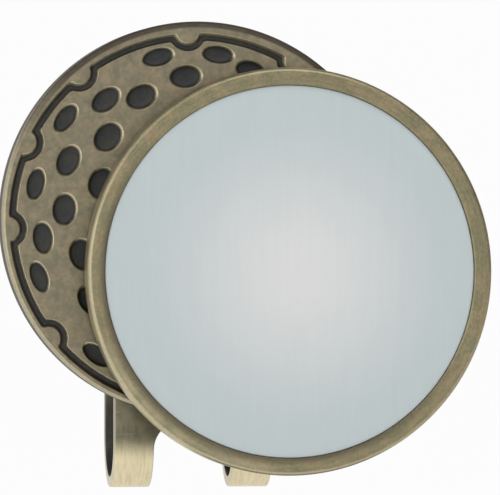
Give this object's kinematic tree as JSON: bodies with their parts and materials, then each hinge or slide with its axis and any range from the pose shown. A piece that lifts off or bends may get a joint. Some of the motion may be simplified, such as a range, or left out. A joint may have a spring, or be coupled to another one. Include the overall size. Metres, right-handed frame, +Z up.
{
  "type": "magnetic ball marker cap clip",
  "caption": "Round metal ball marker with a plain brushed insert, held by a magnet on a dimpled clip disc with a bent spring strip for a cap's brim.",
  "frame": {"origin": "on the clip disc's centre axis, at the back of the strip's front run, where a cap's brim rests", "axes": "+X to the right as the faces are seen, -Y out of the faces towards the viewer, +Z up towards the mouth of the clip"},
  "size_m": [0.0305, 0.0101, 0.0292],
  "materials": {
    "clip_casting": "antique brass plate, dark patina in the relief",
    "marker_casting": "antique brass plate, brushed",
    "strip_metal": "antique brass plate, satin",
    "rivet_metal": "satin, rubbed bright",
    "insert_metal": "fine brushed, bare",
    "armature_steel": "nickel plated",
    "magnet": "nickel plated",
    "adhesive": "clear film, slightly yellow"
  },
  "bodies": {
    "clip": {"clip_disc": "clip_casting", "clip_magnet": "magnet", "magnet_bond": "adhesive", "clip_strip": "strip_metal", "clip_rivets": "rivet_metal"},
    "arm": {"clip_arm": "strip_metal"},
    "marker": {"marker_body": "marker_casting", "marker_insert": "insert_metal", "insert_bond": "adhesive", "marker_armature": "armature_steel", "armature_bond": "adhesive"}
  },
  "joints": [
    {"name": "arm_flex", "type": "hinge", "parent": "clip", "child": "arm", "pos_m": [0, 0.0021, -0.01655], "axis": [-1, 0, 0], "range_deg": [0, 12], "stiffness_Nm_per_rad": 0.1},
    {"name": "marker_slide", "type": "slide", "parent": "clip", "child": "marker", "axis": [0.8572, 0, -0.515], "range_m": [-0.0064, 0.019]}
  ]
}
